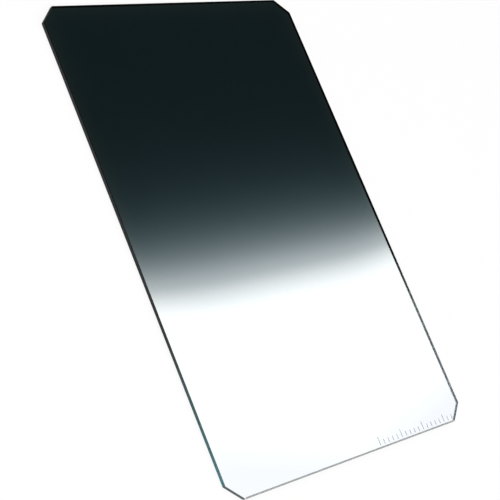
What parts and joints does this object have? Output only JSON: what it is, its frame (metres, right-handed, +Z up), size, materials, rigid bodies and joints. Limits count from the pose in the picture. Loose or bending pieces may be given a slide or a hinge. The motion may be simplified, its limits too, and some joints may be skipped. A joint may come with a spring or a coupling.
{
  "type": "graduated neutral density filter plate",
  "caption": "Thin rectangular resin plate with cut corners whose neutral tint fades from dark at one end to clear at the other, to slide in a holder in front of a lens.",
  "frame": {"origin": "middle of the underside, on the surface that the plate lies on", "axes": "+X across the plate, +Y along it towards the tinted end, +Z up, square to the faces"},
  "size_m": [0.1, 0.15, 0.0015],
  "materials": {
    "graduated_resin": "cast optical resin, polished faces and ground edges; clear at one end, fading to a near-black cold grey neutral tint at the other"
  },
  "bodies": {
    "root": {"filter_plate": "graduated_resin"}
  },
  "joints": []
}
